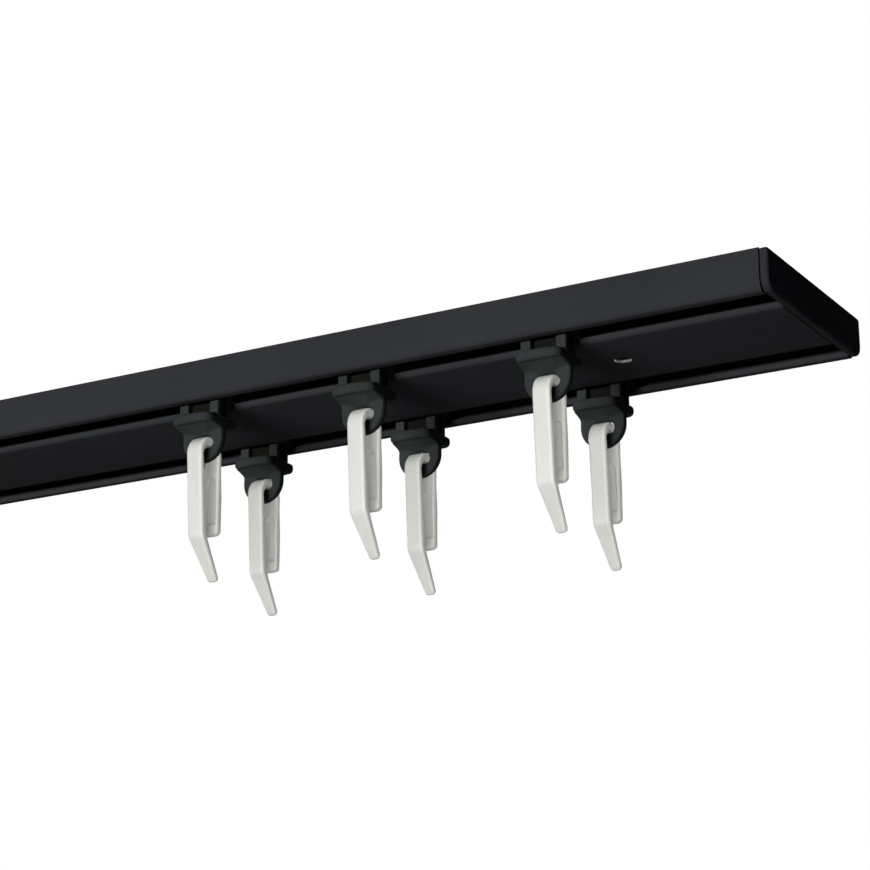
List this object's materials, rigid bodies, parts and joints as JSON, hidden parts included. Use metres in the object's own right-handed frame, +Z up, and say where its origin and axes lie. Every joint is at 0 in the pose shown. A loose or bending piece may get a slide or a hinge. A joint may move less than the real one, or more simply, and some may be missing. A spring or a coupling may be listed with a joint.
{
  "type": "double curtain track",
  "caption": "Two-run ceiling curtain track: flat black extruded profile with end caps, sliding eye gliders and white clip hooks.",
  "frame": {"origin": "middle of the flat top face that lies against the ceiling", "axes": "+X along the track towards the end with the right-hand cap, -Y to the front, +Z up into the ceiling"},
  "size_m": [0.4046, 0.06, 0.0579],
  "materials": {
    "black_anodised_aluminium": "matt black anodised",
    "black_cap_plastic": "matt moulded, black",
    "black_glider_plastic": "satin moulded, black",
    "white_hook_plastic": "satin moulded, white"
  },
  "bodies": {
    "track": {"track_profile": "black_anodised_aluminium", "end_cap_left": "black_cap_plastic", "end_cap_right": "black_cap_plastic"},
    "glider_front_1_body": {"glider_front_1": "black_glider_plastic"},
    "hook_front_1_body": {"hook_front_1": "white_hook_plastic"},
    "glider_front_2_body": {"glider_front_2": "black_glider_plastic"},
    "hook_front_2_body": {"hook_front_2": "white_hook_plastic"},
    "glider_front_3_body": {"glider_front_3": "black_glider_plastic"},
    "hook_front_3_body": {"hook_front_3": "white_hook_plastic"},
    "glider_back_1_body": {"glider_back_1": "black_glider_plastic"},
    "hook_back_1_body": {"hook_back_1": "white_hook_plastic"},
    "glider_back_2_body": {"glider_back_2": "black_glider_plastic"},
    "hook_back_2_body": {"hook_back_2": "white_hook_plastic"},
    "glider_back_3_body": {"glider_back_3": "black_glider_plastic"},
    "hook_back_3_body": {"hook_back_3": "white_hook_plastic"}
  },
  "joints": [
    {"name": "front_1_slide", "type": "slide", "parent": "track", "child": "glider_front_1_body", "axis": [1, 0, 0], "range_m": [-0.2285, 0.0189]},
    {"name": "front_1_swing", "type": "hinge", "parent": "glider_front_1_body", "child": "hook_front_1_body", "pos_m": [0.035, -0.02145, -0.0243], "axis": [1, 0, 0], "range_deg": [-90, 90]},
    {"name": "front_2_slide", "type": "slide", "parent": "track", "child": "glider_front_2_body", "axis": [1, 0, 0], "range_m": [-0.0189, 0.0204]},
    {"name": "front_2_swing", "type": "hinge", "parent": "glider_front_2_body", "child": "hook_front_2_body", "pos_m": [0.086, -0.02145, -0.0243], "axis": [1, 0, 0], "range_deg": [-90, 90]},
    {"name": "front_3_slide", "type": "slide", "parent": "track", "child": "glider_front_3_body", "axis": [1, 0, 0], "range_m": [-0.0204, 0.0534]},
    {"name": "front_3_swing", "type": "hinge", "parent": "glider_front_3_body", "child": "hook_front_3_body", "pos_m": [0.14, -0.02145, -0.0243], "axis": [1, 0, 0], "range_deg": [-90, 90]},
    {"name": "back_1_slide", "type": "slide", "parent": "track", "child": "glider_back_1_body", "axis": [1, 0, 0], "range_m": [-0.218, 0.0197]},
    {"name": "back_1_swing", "type": "hinge", "parent": "glider_back_1_body", "child": "hook_back_1_body", "pos_m": [0.0245, 0.02145, -0.0243], "axis": [1, 0, 0], "range_deg": [-90, 90]},
    {"name": "back_2_slide", "type": "slide", "parent": "track", "child": "glider_back_2_body", "axis": [1, 0, 0], "range_m": [-0.0197, 0.0217]},
    {"name": "back_2_swing", "type": "hinge", "parent": "glider_back_2_body", "child": "hook_back_2_body", "pos_m": [0.077, 0.02145, -0.0243], "axis": [1, 0, 0], "range_deg": [-90, 90]},
    {"name": "back_3_slide", "type": "slide", "parent": "track", "child": "glider_back_3_body", "axis": [1, 0, 0], "range_m": [-0.0217, 0.0599]},
    {"name": "back_3_swing", "type": "hinge", "parent": "glider_back_3_body", "child": "hook_back_3_body", "pos_m": [0.1335, 0.02145, -0.0243], "axis": [1, 0, 0], "range_deg": [-90, 90]}
  ]
}
